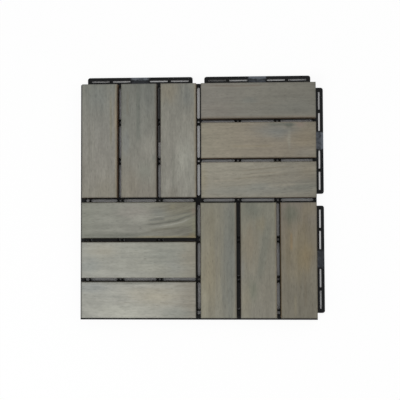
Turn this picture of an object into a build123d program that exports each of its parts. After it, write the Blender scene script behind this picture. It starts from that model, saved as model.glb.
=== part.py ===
from build123d import *
import os

# Interlocking deck tile: twelve stained hardwood slats in a basket weave, each screwed from
# below to one moulded lattice base. Loops on two sides of the base catch the pegs that hang
# under the other two sides of the next tile.
# Millimetres. The origin is the centre of the laying module, on the floor. +Z is up, and the
# loops are on the +X and +Y sides.

# Laying module and slats
MODULE = 300.0  # distance from tile to tile when laid
BLOCK_SLATS = 3  # slats side by side in each quarter
SLAT_GAP = 5.0  # open gap between neighbouring slats, also across a joint between tiles
END_INSET = 3.5  # from the tile's centre line to the inner end of a slat
SLAT_THICK = 12.0
SLAT_ROUND = 1.5  # planed round on the long top edges
END_EASE = 0.6  # sanded chamfer on the top edge of both ends

# Lattice base
BASE_HEIGHT = 7.0  # floor to the underside of the slats
FOOT_DROP = 1.2  # feet below the ribs, so that water runs off
DECK = 2.0  # top web that carries the slats and the screws
WALL = 2.0  # outer walls
RIB = 2.0
SLOT_WIDTH = 3.4  # drain slot between the twin ribs under a gap
SLOT_CHAMFER = 1.2
NODE = 8.0  # closed length where two rib lines cross
CENTRE_NODE = 12.0
NODE_HOLE = 2.4
EDGE_NODE = 4.0  # closed length at the outer end of a slot
JOINT_CLEARANCE = 0.15  # from the base's edge to the seam between two tiles
SEAM_SHIFT = 1.0  # from the middle of the gap between two tiles to the seam of their bases
WEB = 11.0  # width of the screw web under a slat
DRAIN_LENGTH = 4.0  # slot through the flange, outside the channel wall

# Loops and pegs
LOOP_GAP = 15.0  # between the two loops of a side
LOOP_END = 5.0  # closed end of a loop
LOOP_INNER_RAIL = 3.25
LOOP_OUTER_RAIL = 3.8
LOOP_CORNER = 3.0
WINDOW_WIDTH = 2.3
WINDOW_BAR = 4.0  # bar between the two windows of a pair
PAD_LENGTH = 25.0  # closed middle of a loop, with two shallow recesses
PAD_RECESS = 0.6
PAD_BORDER = 1.5
HEADROOM = 0.2  # from a loop's top to the flange that covers it
CHANNEL_CLEARANCE = 1.9  # from a loop's outer face to the channel wall
PEG_SIDE_CLEARANCE = 0.3
PEG_END_CLEARANCE = 1.5
PEG_LIFT = 0.4  # peg tips above the underside of the loops
PEG_LEAD = 0.5  # lead-in chamfer on the peg tips

# Screws
TIP_COVER = 2.0  # wood left above a screw's tip
HEAD_R = 3.7
HEAD_HEIGHT = 2.2
SHANK_R = 1.75  # over the thread, which is drawn as a plain faceted shank
HEAD_SIDES = 16
SHANK_SIDES = 8
PILOT_CLEARANCE = 0.05  # all round a shank in its slat
SCREW_INSET = 22.0  # from the slat's end to the screw
SCREW_SLOT_LENGTH = 9.0  # slotted seat in the web, so that the wood can swell
SCREW_SLOT_CLEARANCE = 0.35  # on each side of the shank

# Sizes that follow
HALF = MODULE / 2
PITCH = HALF / BLOCK_SLATS
SLAT_WIDTH = PITCH - SLAT_GAP
SLAT_LENGTH = HALF - SLAT_GAP / 2 - END_INSET
EDGE = HALF - SEAM_SHIFT - JOINT_CLEARANCE
FLANGE_EDGE = HALF + SEAM_SHIFT - JOINT_CLEARANCE
STRIP = SLOT_WIDTH + 2 * RIB
DECK_UNDER = BASE_HEIGHT - DECK
WINDOW_IN = EDGE + LOOP_INNER_RAIL
WINDOW_OUT = WINDOW_IN + WINDOW_WIDTH
LOOP_REACH = WINDOW_OUT + LOOP_OUTER_RAIL
LOOP_LENGTH = HALF - LOOP_GAP
WINDOW_LENGTH = (LOOP_LENGTH - 2 * LOOP_END - 2 * WINDOW_BAR - PAD_LENGTH) / 4
LOOP_TOP = DECK_UNDER - HEADROOM
CHANNEL_FACE = MODULE - LOOP_REACH - CHANNEL_CLEARANCE
CHANNEL_INNER = CHANNEL_FACE - WALL
SCREW_LENGTH = DECK + SLAT_THICK - TIP_COVER
SCREW_PLACES = (END_INSET + SCREW_INSET, END_INSET + SLAT_LENGTH - SCREW_INSET)
LINES = [i * PITCH for i in range(1, BLOCK_SLATS)]

# Each quarter of the tile: its signs along X and Y, and the axis its slats run along
QUARTERS = {"nw": (-1, 1, "y"), "ne": (1, 1, "x"), "sw": (-1, -1, "x"), "se": (1, -1, "y")}


def rect(x0, x1, y0, y1):
    """A rectangle between two corners, given in any order."""
    return Pos((x0 + x1) / 2, (y0 + y1) / 2) * Rectangle(abs(x1 - x0), abs(y1 - y0))


def spot(quarter, along, across):
    """The X and Y of a point given along and across a quarter's slats, from the tile's centre."""
    sign_x, sign_y, axis = QUARTERS[quarter]
    if axis == "x":
        return sign_x * along, sign_y * across
    return sign_x * across, sign_y * along


def quarter_rect(quarter, along, across):
    """A rectangle given by its spans along and across a quarter's slats."""
    x0, y0 = spot(quarter, along[0], across[0])
    x1, y1 = spot(quarter, along[1], across[1])
    return rect(x0, x1, y0, y1)


def inner_limit(sign):
    """Where the open field of the lattice ends: at the outer wall or at the channel wall."""
    return EDGE - WALL if sign > 0 else CHANNEL_INNER


def slot_limit(sign):
    """Where the last drain slot of a line ends on that side."""
    return EDGE - EDGE_NODE if sign > 0 else CHANNEL_INNER


def limits(quarter, limit):
    """A limit along and across a quarter's slats."""
    sign_x, sign_y, axis = QUARTERS[quarter]
    ends = (limit(sign_x), limit(sign_y))
    return ends if axis == "x" else ends[::-1]


def spans(stops, half_widths):
    """The open spans between neighbouring stops, each stop with its own half width."""
    return [
        (stops[i] + half_widths[i], stops[i + 1] - half_widths[i + 1])
        for i in range(len(stops) - 1)
    ]


def bays(quarter):
    """Spans along the slats between the cross ribs."""
    end = limits(quarter, inner_limit)[0]
    return spans([0, *LINES, end], [STRIP / 2, *[RIB / 2 for _ in LINES], 0])


def rows(quarter):
    """Spans across the slats between the twin ribs."""
    end = limits(quarter, inner_limit)[1]
    return spans([0, *LINES, end], [STRIP / 2, *[STRIP / 2 for _ in LINES], 0])


def pockets():
    """The deep spaces of the lattice, one to each bay of each slat."""
    return [quarter_rect(q, bay, row) for q in QUARTERS for bay in bays(q) for row in rows(q)]


def deck_openings():
    """The openings in the top web, on both sides of each slat's screw web."""
    openings = []
    for quarter in QUARTERS:
        for index, row in enumerate(rows(quarter)):
            middle = (index + 0.5) * PITCH
            sides = [(row[0], middle - WEB / 2), (middle + WEB / 2, row[1])]
            openings += [quarter_rect(quarter, bay, side) for bay in bays(quarter) for side in sides]
    return openings


def slot(quarter, span, line):
    """One drain slot along a quarter's slats, with chamfered corners."""
    outline = quarter_rect(quarter, span, (line - SLOT_WIDTH / 2, line + SLOT_WIDTH / 2))
    return chamfer(outline.vertices(), SLOT_CHAMFER)


def drain_slots():
    """The slots under the gaps inside the quarters."""
    slots = []
    for quarter in QUARTERS:
        end = limits(quarter, slot_limit)[0]
        segments = spans([0, *LINES, end], [NODE / 2, *[NODE / 2 for _ in LINES], 0])
        slots += [slot(quarter, segment, line) for line in LINES for segment in segments]
    return slots


def centre_slots():
    """The slots of the centre cross, drawn along +X and turned to the four arms."""
    slots = []
    for angle, sign in ((0, 1), (90, 1), (180, -1), (270, -1)):
        halves = [CENTRE_NODE / 2, *[NODE / 2 for _ in LINES], 0]
        for segment in spans([0, *LINES, slot_limit(sign)], halves):
            slots.append(Rot(0, 0, angle) * slot("ne", segment, 0))
    return slots


def node_holes():
    """A small square hole through every crossing but the centre one."""
    stops = [-line for line in LINES] + [0] + LINES
    places = [(x, y) for x in stops for y in stops if (x, y) != (0, 0)]
    return [Pos(x, y) * Rectangle(NODE_HOLE, NODE_HOLE) for x, y in places]


def flange_drains():
    """Short slots that carry each drain line on through the flanges."""
    span = (CHANNEL_FACE, CHANNEL_FACE + DRAIN_LENGTH)
    width = (-SLOT_WIDTH / 2, SLOT_WIDTH / 2)
    drains = []
    for line in [0, *LINES]:
        drains.append(rect(-span[0], -span[1], width[0] - line, width[1] - line))
        drains.append(rect(width[0] + line, width[1] + line, -span[0], -span[1]))
    return drains


def feet():
    """Square pads under the crossings and along the outer walls."""
    low = -(CHANNEL_FACE - NODE / 2)
    high = EDGE - NODE / 2
    stops = [low, *[-line for line in LINES], 0, *LINES, high]
    return [Pos(x, y) * Rectangle(NODE, NODE) for x in stops for y in stops]


def window_spans():
    """The windows of a loop, along its side and from its middle."""
    inner = (PAD_LENGTH / 2, PAD_LENGTH / 2 + WINDOW_LENGTH)
    outer = (inner[1] + WINDOW_BAR, inner[1] + WINDOW_BAR + WINDOW_LENGTH)
    return [(-outer[1], -outer[0]), (-inner[1], -inner[0]), inner, outer]


def loop():
    """One loop on the +X side, centred on Y = 0."""
    outline = rect(EDGE, LOOP_REACH, -LOOP_LENGTH / 2, LOOP_LENGTH / 2)
    outline = fillet(outline.vertices().group_by(Axis.X)[-1], LOOP_CORNER)
    outline -= [rect(WINDOW_IN, WINDOW_OUT, y0, y1) for y0, y1 in window_spans()]
    body = Pos(0, 0, FOOT_DROP) * extrude(outline, LOOP_TOP - FOOT_DROP)
    pad_end = PAD_LENGTH / 2 - PAD_BORDER
    recesses = [rect(WINDOW_IN, WINDOW_OUT, side * PAD_BORDER / 2, side * pad_end) for side in (-1, 1)]
    return body - [Pos(0, 0, LOOP_TOP - PAD_RECESS) * extrude(r, PAD_RECESS) for r in recesses]


def peg(span):
    """One peg under the -X flange, with lead-in chamfers at its tip."""
    centre = (WINDOW_IN + WINDOW_OUT) / 2 - MODULE
    half = WINDOW_WIDTH / 2 - PEG_SIDE_CLEARANCE
    tip = FOOT_DROP + PEG_LIFT
    section = rect(centre - half, centre + half, tip, DECK_UNDER)
    section = chamfer(section.vertices().group_by(Axis.Y)[0], PEG_LEAD)
    length = span[1] - span[0] - 2 * PEG_END_CLEARANCE
    middle = (span[0] + span[1]) / 2
    return Pos(0, middle, 0) * extrude(Plane.XZ * section, length / 2, both=True)


def shank(clearance=0.0):
    """A screw's shank from the underside of the web, or its pilot hole with a clearance."""
    outline = RegularPolygon(SHANK_R + clearance, SHANK_SIDES)
    return Pos(0, 0, DECK_UNDER) * extrude(outline, SCREW_LENGTH + clearance)


def screw():
    """One pan-head screw on the Z axis, its head under the web."""
    head = extrude(RegularPolygon(HEAD_R, HEAD_SIDES), HEAD_HEIGHT)
    return shank() + Pos(0, 0, DECK_UNDER - HEAD_HEIGHT) * head


def screw_spots(quarter, index):
    """Where the screws of one slat stand."""
    return [Pos(*spot(quarter, along, (index + 0.5) * PITCH)) for along in SCREW_PLACES]


def screw_slots():
    """The slotted seats of the screws in the top web, each along its slat."""
    half_width = SHANK_R + SCREW_SLOT_CLEARANCE
    half_length = SCREW_SLOT_LENGTH / 2
    slots = []
    for quarter in QUARTERS:
        for index in range(BLOCK_SLATS):
            middle = (index + 0.5) * PITCH
            across = (middle - half_width, middle + half_width)
            slots += [quarter_rect(quarter, (u - half_length, u + half_length), across) for u in SCREW_PLACES]
    return slots


def lattice_base():
    """The moulded base: ribs, top web, feet, loops and pegs in one piece."""
    square = rect(-FLANGE_EDGE, EDGE, -FLANGE_EDGE, EDGE)
    drains = drain_slots() + centre_slots() + node_holes()
    channels = [
        rect(-FLANGE_EDGE, -CHANNEL_FACE, -FLANGE_EDGE, EDGE),
        rect(-FLANGE_EDGE, EDGE, -FLANGE_EDGE, -CHANNEL_FACE),
    ]
    ribs = square - (pockets() + drains + channels)
    deck = square - (deck_openings() + drains + flange_drains() + screw_slots())
    pads = Sketch() + feet() - drains
    pieces = [Pos(0, 0, DECK_UNDER) * extrude(deck, DECK), extrude(pads, FOOT_DROP)]
    for angle in (0, 90):
        for side in (-1, 1):
            place = Rot(0, 0, angle) * Pos(0, side * HALF / 2, 0)
            pieces += [place * loop(), *[place * peg(span) for span in window_spans()]]
    return Pos(0, 0, FOOT_DROP) * extrude(ribs, DECK_UNDER - FOOT_DROP) + pieces


def slat_blank():
    """One slat along X on the base's top: a planed section with rounded edges, cut to an eased length."""
    section = Pos(0, SLAT_THICK / 2) * Rectangle(SLAT_WIDTH, SLAT_THICK)
    section = fillet(section.vertices().group_by(Axis.Y)[-1], SLAT_ROUND)
    side = Pos(0, SLAT_THICK / 2) * Rectangle(SLAT_LENGTH, SLAT_THICK)
    side = chamfer(side.vertices().group_by(Axis.Y)[-1], END_EASE)
    planed = extrude(Plane.YZ * section, SLAT_LENGTH / 2, both=True)
    cut = extrude(Plane.XZ * side, SLAT_WIDTH / 2, both=True)
    return Pos(0, 0, BASE_HEIGHT) * (planed & cut)


def slat(quarter, index):
    """One slat in its place, with the pilot holes of its two screws."""
    x, y = spot(quarter, END_INSET + SLAT_LENGTH / 2, (index + 0.5) * PITCH)
    turn = 0 if QUARTERS[quarter][2] == "x" else 90
    pilots = [at * shank(PILOT_CLEARANCE) for at in screw_spots(quarter, index)]
    return Pos(x, y) * Rot(0, 0, turn) * slat_blank() - pilots


def slat_screws():
    """All the screws, as separate solids."""
    return Compound([at * screw() for q in QUARTERS for i in range(BLOCK_SLATS) for at in screw_spots(q, i)])


os.makedirs("parts", exist_ok=True)
export_step(lattice_base(), "parts/lattice_base.step")
for quarter in QUARTERS:
    for index in range(BLOCK_SLATS):
        export_step(slat(quarter, index), f"parts/slat_{quarter}_{index + 1}.step")
export_step(slat_screws(), "parts/slat_screws.step")
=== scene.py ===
import math

import bmesh
import bpy
from mathutils import Matrix, Vector


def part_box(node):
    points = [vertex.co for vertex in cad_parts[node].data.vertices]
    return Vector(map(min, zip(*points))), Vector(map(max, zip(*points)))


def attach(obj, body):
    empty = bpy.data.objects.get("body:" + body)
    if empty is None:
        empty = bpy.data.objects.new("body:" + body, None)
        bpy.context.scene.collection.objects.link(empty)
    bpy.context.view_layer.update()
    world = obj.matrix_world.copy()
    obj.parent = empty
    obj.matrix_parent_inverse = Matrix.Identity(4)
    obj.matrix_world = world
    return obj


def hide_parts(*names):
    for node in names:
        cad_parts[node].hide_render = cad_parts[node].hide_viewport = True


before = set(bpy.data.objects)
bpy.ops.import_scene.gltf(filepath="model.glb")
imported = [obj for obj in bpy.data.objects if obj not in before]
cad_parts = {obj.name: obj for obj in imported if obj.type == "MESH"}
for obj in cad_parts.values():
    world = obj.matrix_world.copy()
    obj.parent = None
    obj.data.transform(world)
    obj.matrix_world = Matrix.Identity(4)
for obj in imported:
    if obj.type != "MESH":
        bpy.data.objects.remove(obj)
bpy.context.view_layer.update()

MM = 0.001
PER_METRE = 1000.0

# Sizes of the tile in millimetres, as the model has them.
BASE_EDGE = 148.85
FLANGE_EDGE = 150.85
LOOP_REACH = 158.2
LOOP_TOP = 4.8
LOOP_MIDDLE = 75.0
LOOP_LENGTH = 135.0
PAD_LENGTH = 25.0


def colour(code):
    """The linear colour of an sRGB hex code."""
    values = [int(code[i:i + 2], 16) / 255 for i in (1, 3, 5)]
    return [v / 12.92 if v <= 0.04045 else ((v + 0.055) / 1.055) ** 2.4 for v in values] + [1.0]


def node(tree, kind, inputs=None, **settings):
    """Adds one shader node with its settings, and sets or links its inputs, by name or by number.
    A Map Range takes its range from inputs 1 and 2 to inputs 3 and 4."""
    made = tree.nodes.new("ShaderNode" + kind)
    for name, value in settings.items():
        setattr(made, name, value)
    for socket, value in (inputs or {}).items():
        if isinstance(value, bpy.types.Node):
            value = value.outputs[0]
        if isinstance(value, bpy.types.NodeSocket):
            tree.links.new(value, made.inputs[socket])
        else:
            made.inputs[socket].default_value = value
    return made


def new_material(name):
    """An empty node material, and the tree that its finish is drawn in."""
    material = bpy.data.materials.new(name)
    material.use_nodes = True
    material.node_tree.nodes.clear()
    return material, material.node_tree


def dress(piece, material):
    """Gives every slot of a CAD piece one finish."""
    for slot in piece.material_slots:
        slot.material = material


# Each slat: the stain at its start, middle and end, the bare wood of its sides, and what the eye finds on it.
# A patch is a place along and across the slat, its reach both ways in millimetres, a tone and a strength.
# A streak is a grain line: where it starts and ends along the slat, its place across at the start, its rise
# across to the end, how late it rises (1 is straight), its half width, a tone and a strength.
# Some slats are brown along one edge, in a line that runs past both ends.
EDGE_LINE = (-100, 100, -21.3, 0, 1, 1.3)
SLATS = {
    "slat_nw_3": (("#838076", "#83817a", "#7a7b73"), "#8a6238", [
        (56, 3, 20, 13, "#777a75", 0.6),
        (-62, -7, 20, 14, "#807c70", 0.7),
        (30, -20, 24, 3, "#867d6d", 0.6),
        (-35, -19, 14, 4, "#8c8a83", 0.6),
    ], [
        (-12, 63, -14.5, 0, 1, 1.2, "#77735f", 0.5),
        (-50, 30, 8, 0, 1, 1.2, "#8b897f", 0.4),
        (-40, 35, 13, 0, 1, 1.0, "#77756b", 0.4),
        (*EDGE_LINE, "#90846c", 0.5),
    ]),
    "slat_nw_2": (("#807c72", "#7f7f77", "#71726b"), "#5c4434", [
        (56, -11, 20, 12, "#70726d", 0.6),
        (-10, -12, 17, 12, "#87857c", 0.7),
        (-40, -8, 15, 10, "#818379", 0.6),
        (-58, 10, 22, 13, "#807b6f", 0.7),
        (-2, 17, 16, 5, "#7a7c78", 0.6),
        (-22, -19, 6, 4, "#6f716a", 0.5),
    ], [
        (-6, 73, 1, 0, 1, 2.4, "#676a63", 0.7),
        (30, 64, 14, 0, 1, 1.6, "#706d62", 0.45),
        (*EDGE_LINE, "#6e675a", 0.4),
    ]),
    "slat_nw_1": (("#85837a", "#848279", "#7b7a71"), "#8c7050", [
        (55, -11, 20, 12, "#72746f", 0.75),
        (62, 12, 17, 13, "#7e7869", 0.7),
        (-24, -9, 34, 14, "#939389", 0.7),
        (-68, 8, 10, 9, "#78746a", 0.7),
        (36, 1, 18, 8, "#76756d", 0.5),
    ], [
        (-68, -10, 6.5, 0, 1, 1.5, "#74746b", 0.55),
        (*EDGE_LINE, "#867a64", 0.45),
    ]),
    "slat_ne_3": (("#7d7a72", "#78766d", "#727067"), "#6a5640", [
        (-10, -1, 11, 5, "#6f716b", 0.55),
        (45, -8, 32, 11, "#71716a", 0.5),
        (-50, -12, 24, 9, "#7e7970", 0.5),
    ], [
        (-68, 14, 18.5, 0, 1, 1.1, "#6b6156", 0.55),
        (-50, 34, -5, 1, 1, 1.2, "#716e64", 0.4),
        (*EDGE_LINE, "#7f7262", 0.4),
    ]),
    "slat_ne_2": (("#898475", "#877f71", "#7b7568"), "#6e563c", [
        (20, 13, 30, 11, "#747570", 0.7),
        (27, 8, 12, 8, "#71736f", 0.55),
        (38.5, 18, 5, 4, "#565952", 0.85),
        (38.5, 0, 2.4, 15, "#8b897e", 0.6),
        (60, 0, 18, 15, "#807663", 0.5),
        (60, -16, 18, 7, "#78746c", 0.5),
        (53, 19, 6, 4, "#7e7069", 0.5),
    ], [
        (8, 48, 19.5, -0.5, 1, 1.7, "#60635b", 0.65),
        (-62, 6, 18.5, 0, 1, 1.0, "#776f5f", 0.4),
        (-40, 24, -8, 0.5, 1, 1.2, "#80775f", 0.3),
    ]),
    "slat_ne_1": (("#8e8a7d", "#8a8679", "#7f7b70"), "#6e563c", [
        (-12, -13, 66, 8, "#7e7f78", 0.6),
        (58, -10, 18, 8, "#74756c", 0.65),
        (62, 12, 15, 10, "#7f7868", 0.6),
        (-70, 0, 6, 20, "#8c846c", 0.4),
        (0, -8, 14, 6, "#7b7d76", 0.4),
    ], [
        (-28, 48, 10.5, 7, 1, 0.9, "#736c5c", 0.42),
        (-16, 46, 1.5, 6.5, 1, 0.9, "#736d5f", 0.42),
        (-24, 2, 6, 2.5, 1, 0.8, "#746e61", 0.45),
        (-32, -6, 1, 2, 1, 0.8, "#787160", 0.45),
        (-2, 24, 7.5, 2, 1, 0.8, "#726a5c", 0.45),
        (-50, -4, -9, 4, 1, 0.9, "#767265", 0.4),
        (-20, 34, 4.5, 5.5, 1, 1.0, "#989282", 0.45),
        (-62, -20, -2, 2, 1, 1.3, "#9a9485", 0.45),
    ]),
    "slat_sw_1": (("#84857b", "#898880", "#787769"), "#8c7a54", [
        (-6, 10, 24, 10, "#918d85", 0.7),
        (4, 2, 15, 6, "#94938a", 0.6),
        (50, -15, 30, 7, "#706e65", 0.75),
        (50, 16, 28, 9, "#757163", 0.7),
        (26, 9, 10, 8, "#757772", 0.55),
        (-20, -19, 46, 4.5, "#73746b", 0.8),
        (69, -20, 6, 4, "#887c5e", 0.6),
        (70, 10, 4, 6, "#84766a", 0.5),
        (70.5, -8, 3, 12, "#86856f", 0.5),
        (43, 17, 4, 4, "#8b8772", 0.45),
    ], [
        (4, 74, -5.5, 15, 2.3, 1.0, "#60615a", 0.68),
        (9, 73, 0, 11, 1.1, 0.9, "#666760", 0.45),
        (12, 34, -0.6, 1.8, 1, 1.3, "#60625d", 0.55),
        (18, 34, 3.4, 1.4, 1, 0.8, "#9c9b91", 0.55),
        (20, 78, -3, 14, 1.6, 0.8, "#6c6d64", 0.4),
        (12, 73, -8, 13, 2.2, 1.1, "#93938a", 0.6),
        (0, 73, -17, 11, 1, 1.4, "#65645a", 0.5),
        (10, 62, -12.5, 3.5, 1.6, 1.2, "#686659", 0.5),
        (-14, 110, -21.3, 0, 1, 1.2, "#8a8064", 0.5),
    ]),
    "slat_sw_2": (("#97978f", "#98988e", "#8c8b80"), "#7a6548", [
        (-45, 12, 18, 10, "#a39f91", 0.65),
        (-63, -8, 14, 11, "#90938e", 0.7),
        (32, 7, 28, 15, "#868880", 0.7),
        (48, -9, 18, 10, "#878882", 0.6),
        (67, 2, 15, 26, "#8b8678", 0.65),
        (-30, -18, 38, 5, "#9e9e96", 0.6),
    ], [
        (-12, 32, 15, -2, 1, 1.2, "#80827a", 0.45),
        (-55, 4, 2, 1, 1, 1.0, "#8b8c84", 0.4),
    ]),
    "slat_sw_3": (("#999991", "#a2a198", "#8f8d84"), "#5e5644", [
        (-56, 16, 24, 9, "#8f928f", 0.7),
        (22, 5, 38, 11, "#a39d8c", 0.65),
        (-14, -15, 44, 9, "#adada2", 0.72),
        (67, 3, 18, 26, "#868175", 0.75),
        (48, -16, 18, 8, "#8d8f87", 0.7),
    ], [
        (-50, 48, 20.5, 0, 1, 1.4, "#81827a", 0.7),
        (-68, -16, 4, 0, 1, 1.1, "#8e8f88", 0.45),
    ]),
    "slat_se_1": (("#828074", "#7d7a6d", "#7a786c"), "#5c4430", [
        (5, -15, 110, 11, "#70726c", 0.85),
        (45, -16, 24, 7, "#6b6c63", 0.6),
        (-22, 12, 58, 13, "#867f6b", 0.7),
        (-55, 18, 26, 6, "#8d8979", 0.7),
        (48, 11, 28, 12, "#7f7a69", 0.55),
    ], [
        (-50, 40, 3, -1, 1, 1.4, "#767268", 0.35),
        (*EDGE_LINE, "#6f6657", 0.5),
    ]),
    "slat_se_2": (("#7f7c71", "#7a776b", "#78776b"), "#6e5438", [
        (63, 8, 14, 13, "#6b6d63", 0.75),
        (44, -3, 11, 7, "#817b68", 0.6),
        (20, 12, 32, 11, "#827a69", 0.65),
        (-37, 8, 15, 8, "#717365", 0.65),
        (-42, -9, 24, 10, "#7a766a", 0.5),
        (-52, 16, 24, 7, "#85806f", 0.7),
        (-10, 20, 14, 3, "#7b7a74", 0.6),
    ], [
        (-32, 52, 1, -14.5, 1, 4.5, "#6d6e64", 0.65),
        (-48, -26, 9, -5, 1, 1.5, "#686b5f", 0.45),
        (*EDGE_LINE, "#766c58", 0.45),
    ]),
    "slat_se_3": (("#716d61", "#746f62", "#756f65"), "#8a7040", [
        (14, 0, 42, 24, "#7a7059", 0.6),
        (5, -10, 17, 10, "#807154", 0.45),
        (57, 9, 14, 9, "#636559", 0.8),
        (64, -13, 11, 9, "#7d7562", 0.55),
    ], [
        (10, 36, 9.5, 0, 1, 1.5, "#846f50", 0.45),
        (-72, -40, 5, 0, 1, 1.7, "#7a7462", 0.5),
        (-62, -10, -8, 1, 1, 1.6, "#6a6355", 0.45),
    ]),
}


# Patterns of the wood: how long, wide and deep their marks are in millimetres, their own place in the noise,
# their detail and their roughness. Real fibres are finer, and are drawn this wide so that they show.
WOOD_PATTERNS = {
    "growth_bands": ((110, 5, 5), 3.0, 3.0, 0.55),
    "fibres": ((18, 1.6, 1.6), 7.0, 4.0, 0.7),
    "open_pores": ((6, 0.6, 0.6), 11.0, 1.0, 0.5),
    "flecks": ((5, 2.6, 2.6), 19.0, 2.0, 0.5),
}
# Clouds of stain, and how far they push the edges of tones and the grain lines to and fro, in millimetres.
CLOUD_SIZE = (26, 9, 9)
TONE_PUSH = (30.0, 11.0, 0.0)
LINE_PUSH = (8.0, 2.6, 0.0)
# A patch that reaches less far than this, along or across, is pushed less.
SMALL_PATCH = (25, 9)
# Growth rings on the ends: their spacing, how far the tree's heart lies beside a slat's middle and below its
# tread, in millimetres, and how long Blender's wave is at scale 1.
RING_SPACING = 2.4
HEART_SIDE = 26.0
HEART_DEPTH = -24.0
WAVE_PERIOD = math.pi / 10
# Where the stain starts to thin out on the sides, and where it is thinnest, in millimetres from the tread up.
THIN_START, THIN_FULL = -0.35, -1.5


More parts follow.
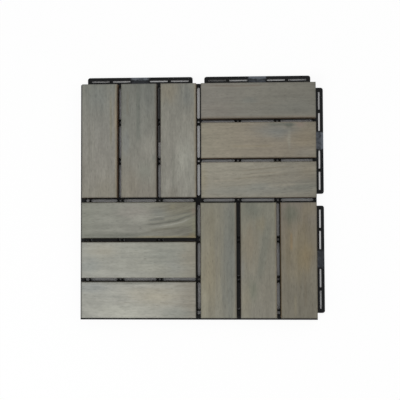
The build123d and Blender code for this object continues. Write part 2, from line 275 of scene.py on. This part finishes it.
def stained_acacia(slat, tones, bare_wood, patches, streaks, seed,
                   slope=0.0, bend=0.0, figure=0.0, depth=1.0):
    """Planed acacia under a grey oil stain: matt, long fine grain, cloudy where the stain took unevenly,
    and brown on the sawn sides, where the stain is thin. Slope turns the grain, in degrees; bend sweeps it
    upwards past the middle, in millimetres at the end; figure darkens the growth lines there; depth says how
    strongly the fine grain shows."""
    material, tree = new_material("acacia_planed_grey_oil_stain_" + slat)
    low, high = [Vector(corner) * PER_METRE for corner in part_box(slat)]
    middle = (low + high) / 2
    size = high - low
    lengthwise = size.x > size.y
    length, width = (size.x, size.y) if lengthwise else (size.y, size.x)
    start = (-middle.x, -middle.y, -high.z) if lengthwise else (-middle.y, middle.x, -high.z)
    turn = 0.0 if lengthwise else -math.pi / 2
    spot = node(tree, "TexCoord").outputs["Object"]
    place = node(tree, "Mapping", {
        "Vector": spot, "Location": start, "Rotation": (0, 0, turn), "Scale": (PER_METRE,) * 3})
    parts = node(tree, "SeparateXYZ", {0: place})

    # Cloudy stain, which also makes the edges of the tones ragged.
    cloud_place = node(tree, "VectorMath", {
        0: place, 1: [1 / side for side in CLOUD_SIZE]}, operation="MULTIPLY")
    cloud = node(tree, "TexNoise", {
        "Vector": cloud_place, "W": seed, "Scale": 1.0, "Detail": 4.0,
        "Roughness": 0.6}, noise_dimensions="4D")

    # The grain runs along the slat, turned by its slope and swept up by its bend.
    past = node(tree, "MapRange", {"Value": parts.outputs["X"], 1: -length / 8, 2: length / 2})
    sweep = node(tree, "Math", {0: past, 1: 2.0}, operation="POWER")
    lift = node(tree, "CombineXYZ", {"Y": node(tree, "Math", {0: sweep, 1: -bend}, operation="MULTIPLY")})
    grain = node(tree, "Mapping", {
        "Vector": node(tree, "VectorMath", {0: place, 1: lift}, operation="ADD"),
        "Rotation": (0, 0, math.radians(-slope))})
    patterns = {}
    for name, (mark, shift, detail, roughness) in WOOD_PATTERNS.items():
        mark_place = node(tree, "VectorMath", {
            0: grain, 1: [1 / side for side in mark]}, operation="MULTIPLY")
        patterns[name] = node(tree, "TexNoise", {
            "Vector": mark_place, "W": seed + shift, "Scale": 1.0, "Detail": detail,
            "Roughness": roughness}, noise_dimensions="4D").outputs["Fac"]
    bands, fibres, flecks = patterns["growth_bands"], patterns["fibres"], patterns["flecks"]
    pores = node(tree, "MapRange", {"Value": patterns["open_pores"], 1: 0.58, 2: 0.70})

    # The cloud pushes the edges of tones to and fro, half of its push each way, and less for a small patch.
    cloud_push = node(tree, "VectorMath", {
        0: cloud.outputs["Color"], 1: (0.5, 0.5, 0.5)}, operation="SUBTRACT")
    ragged = node(tree, "VectorMath", {0: cloud_push, 1: TONE_PUSH, 2: place}, operation="MULTIPLY_ADD")
    ragged_parts = node(tree, "SeparateXYZ", {0: ragged})
    along = node(tree, "MapRange", {"Value": ragged_parts.outputs["X"], 1: -length / 2, 2: length / 2})
    ramp = node(tree, "ValToRGB", {"Fac": along})
    ramp.color_ramp.interpolation = "B_SPLINE"
    ramp.color_ramp.elements[0].position = 0.08
    ramp.color_ramp.elements[1].position = 0.92
    ramp.color_ramp.elements.new(0.5)
    for element, tone in zip(ramp.color_ramp.elements, tones):
        element.color = colour(tone)
    stain = ramp.outputs["Color"]

    # The stain creeps along the grain, so the growth bands fray the edges of a patch.
    fray = node(tree, "MapRange", {"Value": bands, 1: 0.25, 2: 0.75, 3: -0.35, 4: 0.35}, clamp=False)
    for u, v, reach_u, reach_v, tone, strength in patches:
        push = min(1.0, reach_u / SMALL_PATCH[0], reach_v / SMALL_PATCH[1])
        off = node(tree, "VectorMath", {
            0: cloud_push, 1: [push * side for side in TONE_PUSH], 2: place}, operation="MULTIPLY_ADD")
        off = node(tree, "VectorMath", {0: off, 1: (u, v, 0)}, operation="SUBTRACT")
        off = node(tree, "VectorMath", {0: off, 1: (1 / reach_u, 1 / reach_v, 0)}, operation="MULTIPLY")
        far = node(tree, "VectorMath", {0: off}, operation="LENGTH")
        far = node(tree, "Math", {0: far.outputs["Value"], 1: fray}, operation="ADD")
        mask = node(tree, "MapRange", {
            "Value": far, 1: 0.1, 2: 1.45, 3: strength, 4: 0.0}, interpolation_type="SMOOTHSTEP")
        stain = node(tree, "MixRGB", {"Fac": mask, "Color1": stain, "Color2": colour(tone)}).outputs["Color"]

    # Grain lines waver by about a millimetre, and fade out at both ends.
    wavy = node(tree, "VectorMath", {0: cloud_push, 1: LINE_PUSH, 2: place}, operation="MULTIPLY_ADD")
    wavy_parts = node(tree, "SeparateXYZ", {0: wavy})
    for u0, u1, v0, rise, late, half, tone, strength in streaks:
        run = node(tree, "MapRange", {"Value": wavy_parts.outputs["X"], 1: u0, 2: u1})
        bow = node(tree, "Math", {0: run, 1: late}, operation="POWER")
        line = node(tree, "Math", {0: bow, 1: rise, 2: v0}, operation="MULTIPLY_ADD")
        gap = node(tree, "Math", {0: wavy_parts.outputs["Y"], 1: line}, operation="SUBTRACT")
        gap = node(tree, "Math", {0: gap}, operation="ABSOLUTE")
        mask = node(tree, "MapRange", {
            "Value": gap, 1: 0.3 * half, 2: 1.6 * half, 3: strength, 4: 0.0}, interpolation_type="SMOOTHSTEP")
        ends = node(tree, "Math", {0: run, 1: 0.5}, operation="PINGPONG")
        ends = node(tree, "MapRange", {"Value": ends, 1: 0.0, 2: 0.2})
        mask = node(tree, "Math", {0: mask, 1: ends}, operation="MULTIPLY")
        stain = node(tree, "MixRGB", {"Fac": mask, "Color1": stain, "Color2": colour(tone)}).outputs["Color"]

    # The grain lightens and darkens the stain a little, all in one factor about 1.
    shade = node(tree, "MapRange", {
        "Value": cloud.outputs["Fac"], 1: 0.25, 2: 0.75, 3: 0.87, 4: 1.13}, clamp=False)
    for pattern, share in ((bands, 0.10), (fibres, 0.11 * depth), (flecks, 0.07 * depth)):
        layer = node(tree, "MapRange", {
            "Value": pattern, 1: 0.25, 2: 0.75, 3: 1 - share, 4: 1 + share}, clamp=False)
        shade = node(tree, "Math", {0: shade, 1: layer}, operation="MULTIPLY")
    dark_pores = node(tree, "MapRange", {"Value": pores, 3: 1.01, 4: 0.78})
    shade = node(tree, "Math", {0: shade, 1: dark_pores}, operation="MULTIPLY")
    # The wood is darker within 2 mm of the eased edges.
    inset = node(tree, "VectorMath", {0: place}, operation="ABSOLUTE")
    inset = node(tree, "VectorMath", {0: (length / 2, width / 2, 0.0), 1: inset}, operation="SUBTRACT")
    inset_parts = node(tree, "SeparateXYZ", {0: inset})
    rim = node(tree, "Math", {0: inset_parts.outputs["X"], 1: inset_parts.outputs["Y"]}, operation="MINIMUM")
    rim = node(tree, "MapRange", {
        "Value": rim, 1: 0.2, 2: 2.2, 3: 0.8, 4: 1.0}, interpolation_type="SMOOTHSTEP")
    shade = node(tree, "Math", {0: shade, 1: rim}, operation="MULTIPLY")
    # Cross-cut ends are darker, with growth rings round a heart that lies below the slat.
    heart = (0.0, HEART_SIDE * math.sin(seed), HEART_DEPTH)
    from_heart = node(tree, "VectorMath", {0: place, 1: heart}, operation="SUBTRACT")
    rings = node(tree, "TexWave", {
        "Vector": from_heart, "Scale": WAVE_PERIOD / RING_SPACING, "Distortion": 2.5,
        "Detail": 2.0, "Detail Scale": 1.0}, wave_type="RINGS", rings_direction="X")
    ringed = node(tree, "MapRange", {"Value": rings.outputs["Fac"], 3: 0.72, 4: 0.98})
    at_end = node(tree, "MapRange", {"Value": inset_parts.outputs["X"], 1: 0.6, 2: 0.2})
    end_grain = node(tree, "MapRange", {"Value": at_end, 3: 1.0, 4: ringed})
    shade = node(tree, "Math", {0: shade, 1: end_grain}, operation="MULTIPLY")
    if figure:
        lines = node(tree, "MapRange", {"Value": bands, 1: 0.56, 2: 0.42})
        lines = node(tree, "Math", {0: lines, 1: past}, operation="MULTIPLY")
        lines = node(tree, "MapRange", {"Value": lines, 3: 1.0, 4: 1 - figure})
        shade = node(tree, "Math", {0: shade, 1: lines}, operation="MULTIPLY")
    wood = node(tree, "VectorMath", {0: stain, "Scale": shade}, operation="SCALE")

    # Sawn sides and ends: nearly bare below the tread, with the stain left in clouds.
    thin = node(tree, "MapRange", {
        "Value": parts.outputs["Z"], 1: THIN_START, 2: THIN_FULL}, interpolation_type="SMOOTHSTEP")
    uneven = node(tree, "MapRange", {"Value": cloud.outputs["Fac"], 1: 0.3, 2: 0.6, 3: 0.35, 4: 0.8})
    thin = node(tree, "Math", {0: thin, 1: uneven}, operation="MULTIPLY")
    bare = node(tree, "VectorMath", {0: colour(bare_wood)[:3], "Scale": shade}, operation="SCALE")
    finish = node(tree, "MixRGB", {"Fac": thin, "Color1": wood, "Color2": bare})

    height = node(tree, "Math", {0: fibres, 1: pores}, operation="SUBTRACT")
    bump = node(tree, "Bump", {"Height": height, "Strength": 0.4, "Distance": 0.15 * MM})
    rough = node(tree, "MapRange", {"Value": fibres, 1: 0.3, 2: 0.7, 3: 0.66, 4: 0.82})
    surface = node(tree, "BsdfPrincipled", {
        "Base Color": finish.outputs["Color"], "Roughness": rough, "Normal": bump,
        "IOR": 1.45, "Specular IOR Level": 0.28})
    node(tree, "OutputMaterial", {"Surface": surface})
    return material


# Painted sheen on the closed middle of each loop: the axis that the loop points along, its place on the other
# axis, how strong the painted sheen is, and how strong along the outer edge. It fades out towards the windows.
PAD_PAINTED_SHEEN = [
    ("Y", -LOOP_MIDDLE, 0.24, 1.0),
    ("Y", LOOP_MIDDLE, 0.45, 1.3),
    ("X", LOOP_MIDDLE, 0.85, 1.2),
    ("X", -LOOP_MIDDLE, 0.4, 0.2),
]
# It ends this far inside the pad's ends, and fades over this much to each side, in millimetres.
SHEEN_MARGIN = 1.6
SHEEN_FADE = 1.4
# The painted sheen is stronger along the outer edge, between these depths inside it, and lies on the top faces
# only, above these depths.
EDGE_START, EDGE_FULL = 4.0, 2.2
TOP_START, TOP_FULL = 1.8, 1.0


def moulded_polypropylene():
    """Black polypropylene from a spark-eroded mould: near black, a faint grey sheen on flat faces,
    fine even grain, and a painted grey sheen on top of the closed middles of the loops."""
    material, tree = new_material("polypropylene_moulded_black")
    spot = node(tree, "TexCoord").outputs["Object"]
    place = node(tree, "Mapping", {"Vector": spot, "Scale": (PER_METRE,) * 3})
    # Spark-erosion grain is about 0.1 mm, drawn at 0.5 mm so that it shows.
    grain = node(tree, "TexNoise", {"Vector": place, "Scale": 1 / 0.5, "Detail": 2.0})
    # Flow marks, 25 mm across, and flecks, 4 mm across, that break up the painted sheen.
    flow = node(tree, "TexNoise", {"Vector": place, "Scale": 1 / 25, "Detail": 4.0, "Roughness": 0.65})
    flecks = node(tree, "TexNoise", {"Vector": place, "Scale": 1 / 4, "Detail": 3.0, "Roughness": 0.6})
    parts = node(tree, "SeparateXYZ", {0: place})
    uneven = node(tree, "MapRange", {"Value": flecks.outputs["Fac"], 1: 0.3, 2: 0.7, 3: 0.5, 4: 1.5})
    ragged = node(tree, "MapRange", {"Value": uneven, 1: 0.5, 2: 1.5, 3: -SHEEN_FADE, 4: SHEEN_FADE})
    reach = node(tree, "Math", {0: parts.outputs["X"], 1: parts.outputs["Y"]}, operation="MAXIMUM")
    reach = node(tree, "Math", {0: reach, 1: ragged}, operation="ADD")
    outer = node(tree, "MapRange", {"Value": reach, 1: LOOP_REACH - EDGE_START, 2: LOOP_REACH - EDGE_FULL})
    end = PAD_LENGTH / 2 - SHEEN_MARGIN
    painted_sheen = 0.0
    for out, middle, sheen_strength, rim in PAD_PAINTED_SHEEN:
        beyond = node(tree, "Math", {0: parts.outputs[out], 1: BASE_EDGE}, operation="GREATER_THAN")
        other = parts.outputs["X" if out == "Y" else "Y"]
        off = node(tree, "Math", {0: other, 1: middle}, operation="SUBTRACT")
        off = node(tree, "Math", {0: off}, operation="ABSOLUTE")
        off = node(tree, "Math", {0: off, 1: ragged}, operation="ADD")
        on_pad = node(tree, "MapRange", {
            "Value": off, 1: end - SHEEN_FADE, 2: end + SHEEN_FADE, 3: 1.0, 4: 0.0},
            interpolation_type="SMOOTHSTEP")
        on_pad = node(tree, "Math", {0: on_pad, 1: beyond}, operation="MULTIPLY")
        sheen_across = node(tree, "MapRange", {"Value": outer, 3: sheen_strength, 4: rim})
        painted_sheen = node(tree, "Math", {0: on_pad, 1: sheen_across, 2: painted_sheen}, operation="MULTIPLY_ADD")
    painted_sheen = node(tree, "Math", {0: painted_sheen, 1: uneven}, operation="MULTIPLY", use_clamp=True)
    on_top = node(tree, "MapRange", {
        "Value": parts.outputs["Z"], 1: LOOP_TOP - TOP_START, 2: LOOP_TOP - TOP_FULL})
    painted_sheen = node(tree, "Math", {0: painted_sheen, 1: on_top}, operation="MULTIPLY")
    black = node(tree, "MixRGB", {
        "Fac": node(tree, "MapRange", {"Value": flow.outputs["Fac"], 1: 0.35, 2: 0.7}),
        "Color1": colour("#0a0b0c"), "Color2": colour("#141517")})
    # Painted sheen: the top of each loop's closed middle is mixed towards a bluish grey.
    finish = node(tree, "MixRGB", {
        "Fac": painted_sheen, "Color1": black.outputs["Color"], "Color2": colour("#656a71")})
    rough = node(tree, "MapRange", {"Value": grain.outputs["Fac"], 1: 0.3, 2: 0.7, 3: 0.42, 4: 0.6})
    bump = node(tree, "Bump", {"Height": grain.outputs["Fac"], "Strength": 0.25, "Distance": 0.05 * MM})
    surface = node(tree, "BsdfPrincipled", {
        "Base Color": finish.outputs["Color"], "Roughness": rough, "Normal": bump,
        "IOR": 1.49, "Specular IOR Level": 0.14})
    node(tree, "OutputMaterial", {"Surface": surface})
    return material


def plated_steel():
    """Zinc-plated steel, cold-headed: a bluish grey metal with a satin, slightly cloudy gloss."""
    material, tree = new_material("steel_cold_headed_zinc_plated")
    spot = node(tree, "TexCoord").outputs["Object"]
    place = node(tree, "Mapping", {"Vector": spot, "Scale": (PER_METRE,) * 3})
    # Plating clouds about 1.5 mm across.
    cloud = node(tree, "TexNoise", {"Vector": place, "Scale": 1 / 1.5, "Detail": 3.0})
    plate = node(tree, "MixRGB", {
        "Fac": cloud.outputs["Fac"], "Color1": colour("#979b9f"), "Color2": colour("#b9bbba")})
    rough = node(tree, "MapRange", {"Value": cloud.outputs["Fac"], 1: 0.3, 2: 0.7, 3: 0.26, 4: 0.44})
    surface = node(tree, "BsdfPrincipled", {
        "Base Color": plate.outputs["Color"], "Roughness": rough, "Metallic": 1.0})
    node(tree, "OutputMaterial", {"Surface": surface})
    return material


# Each slat has its own place in the noise, this far from the last.
SEED_STEP = 17.3
# Slats whose grain doesn't run true, or shows more or less: how far it slopes or bends, how dark its lines
# are, and how strong the fine grain is.
GRAIN = {
    "slat_nw_3": {"depth": 1.4},
    "slat_nw_1": {"depth": 1.2},
    "slat_ne_3": {"depth": 0.7},
    "slat_ne_1": {"slope": 3.5, "figure": 0.08},
    "slat_ne_2": {"slope": 1.0},
    "slat_sw_1": {"bend": 13.0, "figure": 0.12, "depth": 0.75},
    "slat_sw_2": {"depth": 0.8},
    "slat_sw_3": {"slope": -1.5},
    "slat_se_1": {"depth": 0.8},
    "slat_se_2": {"slope": -2.0},
    "slat_se_3": {"depth": 0.8},
}

for number, (slat, (tones, bare_wood, patches, streaks)) in enumerate(SLATS.items()):
    dress(bpy.data.objects[slat], stained_acacia(
        slat, tones, bare_wood, patches, streaks, seed=number * SEED_STEP, **GRAIN.get(slat, {})))
dress(bpy.data.objects["lattice_base"], moulded_polypropylene())


# Screws in millimetres, where the model has them: their place from the slat's end, the head with its dome
# and crossed recess, the shank and the tip. The dome is a list of radii and depths below its flat.
SCREW_INSET = 22.0
HEAD_HEIGHT = 2.2
ARM_HALF = 0.6
ARM_REACH = 1.9
LAND_RADIUS = 2.6
RECESS_DEPTH = 1.4
RECESS_TAPER = 0.6
HEAD_RADIUS = 3.7
DOME = [(3.2, 0.25), (3.55, 0.7), (HEAD_RADIUS, 1.2)]
SHANK_RADIUS = 1.75
TIP_RADIUS = 0.3
TIP_LENGTH = 3.0
GRID_CELLS = 5
SHARP_ANGLE = math.radians(35)


def pan_head_screw(length):
    """The mesh of one screw, head up with its flat at zero: a grid whose middle cross sinks into the recess,
    and whose rim is drawn out to the dome, the seat and the shank."""
    screw = bmesh.new()
    bmesh.ops.create_grid(screw, x_segments=GRID_CELLS, y_segments=GRID_CELLS, size=GRID_CELLS)
    lines = {1: ARM_HALF, 3: ARM_REACH, 5: LAND_RADIUS}
    for vert in screw.verts:
        x, y = [math.copysign(lines[round(abs(t))], t) for t in vert.co.xy]
        ring = max(abs(x), abs(y))
        rounding = ring / math.hypot(x, y) if ring > ARM_HALF else 1.0
        vert.co = (x * rounding, y * rounding, 0.0)

    cross = []
    for face in screw.faces:
        x, y = sorted(abs(t) for t in face.calc_center_median().xy)
        if x < ARM_HALF / 2 and y < ARM_REACH:
            cross.append(face)
    rim = [edge for edge in screw.edges if edge.is_boundary]
    sunk = bmesh.ops.extrude_face_region(screw, geom=cross)["geom"]
    sunk = [part for part in sunk if isinstance(part, bmesh.types.BMVert)]
    bmesh.ops.delete(screw, geom=cross, context="FACES")
    sink = Matrix.LocRotScale((0, 0, -RECESS_DEPTH), None, (RECESS_TAPER, RECESS_TAPER, 1.0))
    bmesh.ops.transform(screw, verts=sunk, matrix=sink)

    profile = DOME + [
        (HEAD_RADIUS, HEAD_HEIGHT), (SHANK_RADIUS, HEAD_HEIGHT),
        (SHANK_RADIUS, length - TIP_LENGTH), (TIP_RADIUS, length),
    ]
    for radius, down in profile:
        drawn = bmesh.ops.extrude_edge_only(screw, edges=rim)["geom"]
        ends = {part for part in drawn if isinstance(part, bmesh.types.BMVert)}
        rim = [part for part in drawn if isinstance(part, bmesh.types.BMEdge) and ends.issuperset(part.verts)]
        for vert in ends:
            vert.co = (vert.co.xy.normalized() * radius).to_3d() - Vector((0, 0, down))
    bmesh.ops.edgeloop_fill(screw, edges=rim)
    bmesh.ops.recalc_face_normals(screw, faces=screw.faces)
    return screw


def slat_screws():
    """All the screws in one piece, heads down under the web, two to a slat."""
    low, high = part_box("slat_screws")
    screw = pan_head_screw((high[2] - low[2]) * PER_METRE)
    one = bpy.data.meshes.new("one_screw")
    screw.to_mesh(one)
    screw.free()
    screws = bmesh.new()
    head_down = Matrix.Rotation(math.pi, 3, "X").to_quaternion()
    for slat in SLATS:
        near, far = [Vector(corner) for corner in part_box(slat)]
        reach = (far - near) / 2
        along = Vector((1, 0, 0)) if reach.x > reach.y else Vector((0, 1, 0))
        for side in (-1, 1):
            spot = (near + far) / 2 + along * side * (max(reach.x, reach.y) - SCREW_INSET * MM)
            placed = bmesh.new()
            placed.from_mesh(one)
            bmesh.ops.transform(placed, verts=placed.verts, matrix=Matrix.LocRotScale(
                (spot.x, spot.y, low[2]), head_down, (MM, MM, MM)))
            placed_mesh = bpy.data.meshes.new("placed_screw")
            placed.to_mesh(placed_mesh)
            placed.free()
            screws.from_mesh(placed_mesh)
            bpy.data.meshes.remove(placed_mesh)
    bpy.data.meshes.remove(one)
    for face in screws.faces:
        face.smooth = True
    mesh = bpy.data.meshes.new("pan_head_screws")
    screws.to_mesh(mesh)
    screws.free()
    mesh.set_sharp_from_angle(angle=SHARP_ANGLE)
    piece = bpy.data.objects.new("pan_head_screws", mesh)
    bpy.context.collection.objects.link(piece)
    mesh.materials.append(plated_steel())
    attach(piece, "root")
    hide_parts("slat_screws")


slat_screws()


# The floor: its side in metres, its share of white glow clear of the tile, the share under it, a painted
# shade, and the share under it as gloss sees it, a painted glow, and the paper's tones, one of them a painted
# deep shade.
FLOOR_SIZE = 12.0
FLOOR_WHITE = 0.92
FLOOR_SHADE = 0.033
GLOSS_SHADE = 0.5
PAPER = "#f8f8f8"
DEEP_SHADE = "#2c2c2c"
WINDOW_LINE = (BASE_EDGE + LOOP_REACH) / 2
STRIP_HALF = 4.5
# Painted light and shade on the floor under the tile, in windows and slots whose floor the photo shows lighter
# or
# darker than the rest: the axis that they lie across, their place on it, their span on the other axis, the
# share of white glow painted there, and the paper's painted tone.
FLOOR_STRIPS = [
    ("X", WINDOW_LINE, -150, 150, 0.36, PAPER),
    ("X", WINDOW_LINE, 113, 140, 0.15, PAPER),
    ("X", WINDOW_LINE, -113, -85, 0.23, PAPER),
    ("X", WINDOW_LINE, -140, -113, 0.1, PAPER),
    ("Y", WINDOW_LINE, -150, 150, 0.12, PAPER),
    ("Y", WINDOW_LINE, -140, -113, 0.02, PAPER),
    ("Y", WINDOW_LINE, -63, -37, 0.19, PAPER),
    ("Y", WINDOW_LINE, 10, 37, 0.01, "#b0b0b0"),
    ("Y", WINDOW_LINE, 113, 140, 0.05, PAPER),
    ("X", 0, 0, 150, 0.17, PAPER),
    ("X", 0, -150, 0, 0.024, PAPER),
    ("X", 50, -150, 0, 0.01, DEEP_SHADE),
    ("X", 100, -150, 0, 0.022, PAPER),
    ("Y", -50, -150, 0, 0.01, DEEP_SHADE),
    ("X", -50, 75, 150, 0.01, "#707070"),
]


def white_paper_with_painted_shade():
    """Matt white paper with one side: clear of the tile it shows white to the eye and to gloss, and it keeps
    the tile's shadow. Under the tile it shows only in the slots and the loops' windows, in a painted grey
    shade that is lighter or darker slot by slot and window by window."""
    material, tree = new_material("paper_matt_white_painted_shade")
    ray = node(tree, "LightPath")
    gloss = node(tree, "Math", {
        0: ray.outputs["Is Glossy Ray"], 1: ray.outputs["Is Transmission Ray"]}, operation="MAXIMUM")
    seen = node(tree, "Math", {0: gloss, 1: ray.outputs["Is Camera Ray"]}, operation="MAXIMUM")
    spot = node(tree, "TexCoord").outputs["Object"]
    place = node(tree, "Mapping", {"Vector": spot, "Scale": (PER_METRE,) * 3})
    parts = node(tree, "SeparateXYZ", {0: place})
    x, y = parts.outputs["X"], parts.outputs["Y"]
    far = node(tree, "Math", {0: x, 1: y}, operation="MAXIMUM")
    near = node(tree, "Math", {0: x, 1: y}, operation="MINIMUM")

    # One where the loops, the base or the flanges lie over the paper.
    beside = node(tree, "Math", {0: near}, operation="ABSOLUTE")
    under_loop = node(tree, "Math", {0: beside, 1: LOOP_MIDDLE, 2: LOOP_LENGTH / 2}, operation="COMPARE")
    reach = node(tree, "MapRange", {"Value": under_loop, 3: BASE_EDGE, 4: LOOP_REACH})
    under_tile = node(tree, "Math", {0: far, 1: reach}, operation="LESS_THAN")
    past_flange = node(tree, "Math", {0: near, 1: -FLANGE_EDGE}, operation="LESS_THAN")
    under_tile = node(tree, "Math", {0: under_tile, 1: past_flange}, operation="SUBTRACT", use_clamp=True)

    # Painted shade under the tile: a low share of white glow, painted lighter or darker and toned strip by
    # strip.
    white = FLOOR_SHADE
    paper_tone_and_painted_shade = colour(PAPER)
    for across, line, low, high, share, tone in FLOOR_STRIPS:
        along = "Y" if across == "X" else "X"
        on_line = node(tree, "Math", {0: parts.outputs[across], 1: line, 2: STRIP_HALF}, operation="COMPARE")
        on_span = node(tree, "Math", {
            0: parts.outputs[along], 1: (low + high) / 2, 2: (high - low) / 2}, operation="COMPARE")
        strip = node(tree, "Math", {0: on_line, 1: on_span}, operation="MULTIPLY")
        white = node(tree, "MapRange", {"Value": strip, 3: white, 4: share})
        paper_tone_and_painted_shade = node(tree, "MixRGB", {"Fac": strip, "Color1": paper_tone_and_painted_shade, "Color2": colour(tone)})
    # Painted glow: gloss sees the paper under the tile paler than the eye does, so that the underside shows
    # its forms from below.
    white = node(tree, "MapRange", {"Value": gloss, 3: white, 4: GLOSS_SHADE})
    white = node(tree, "MapRange", {"Value": under_tile, 3: FLOOR_WHITE, 4: white})
    white = node(tree, "Math", {0: seen, 1: white}, operation="MULTIPLY")
    paper = node(tree, "BsdfDiffuse", {"Color": paper_tone_and_painted_shade})
    glow = node(tree, "Emission", {"Color": colour("#ffffff"), "Strength": 1.0})
    top = node(tree, "MixShader", {"Fac": white, 1: paper, 2: glow})

    # The other side is clear, so that the floor doesn't hide the tile from below.
    back = node(tree, "NewGeometry").outputs["Backfacing"]
    clear = node(tree, "BsdfTransparent")
    surface = node(tree, "MixShader", {"Fac": back, 1: top, 2: clear})
    node(tree, "OutputMaterial", {"Surface": surface})
    return material


bpy.ops.mesh.primitive_plane_add(size=FLOOR_SIZE, location=(0, 0, 0))
floor = bpy.context.object
floor.name = "paper_floor"
floor.data.materials.append(white_paper_with_painted_shade())

# Even sky light, white where it is seen.
SKY_LIGHT = 0.56
world = bpy.data.worlds.new("studio_sky")
bpy.context.scene.world = world
world.use_nodes = True
sky_tree = world.node_tree
sky_tree.nodes.clear()
sky_ray = node(sky_tree, "LightPath")
sky_seen = node(sky_tree, "Math", {
    0: sky_ray.outputs["Is Camera Ray"], 1: sky_ray.outputs["Is Glossy Ray"]}, operation="MAXIMUM")
sky_seen = node(sky_tree, "Math", {
    0: sky_seen, 1: sky_ray.outputs["Is Transmission Ray"]}, operation="MAXIMUM")
sky_level = node(sky_tree, "MapRange", {"Value": sky_seen, 3: SKY_LIGHT, 4: 1.0})
sky = node(sky_tree, "Background", {"Color": colour("#ffffff"), "Strength": sky_level})
node(sky_tree, "OutputWorld", {"Surface": sky})


def soft_box(name, place, watts, side):
    """A square soft box that faces the middle of the tile."""
    lamp = bpy.data.lights.new(name, "AREA")
    lamp.energy = watts
    lamp.size = side
    stand = bpy.data.objects.new(name, lamp)
    stand.location = place
    stand.rotation_euler = (-Vector(place)).to_track_quat("-Z", "Y").to_euler()
    bpy.context.scene.collection.objects.link(stand)


soft_box("soft_box_near_left", place=(-0.8, -0.8, 1.3), watts=12.4, side=0.9)
soft_box("soft_box_far_right", place=(0.9, 0.9, 1.4), watts=5.8, side=1.0)

# The camera stands over the tile, a little to the right of its middle and below it, as fitted to the slats.
lens = bpy.data.cameras.new("photo_camera")
lens.lens = 62.1
lens.sensor_width = 36.0
camera = bpy.data.objects.new("photo_camera", lens)
camera.location = (0.0359, -0.0307, 0.882)
camera.rotation_euler = [math.radians(angle) for angle in (2.019, 2.255, -0.21)]
bpy.context.scene.collection.objects.link(camera)
bpy.context.scene.camera = camera
bpy.context.scene.view_settings.view_transform = "Standard"
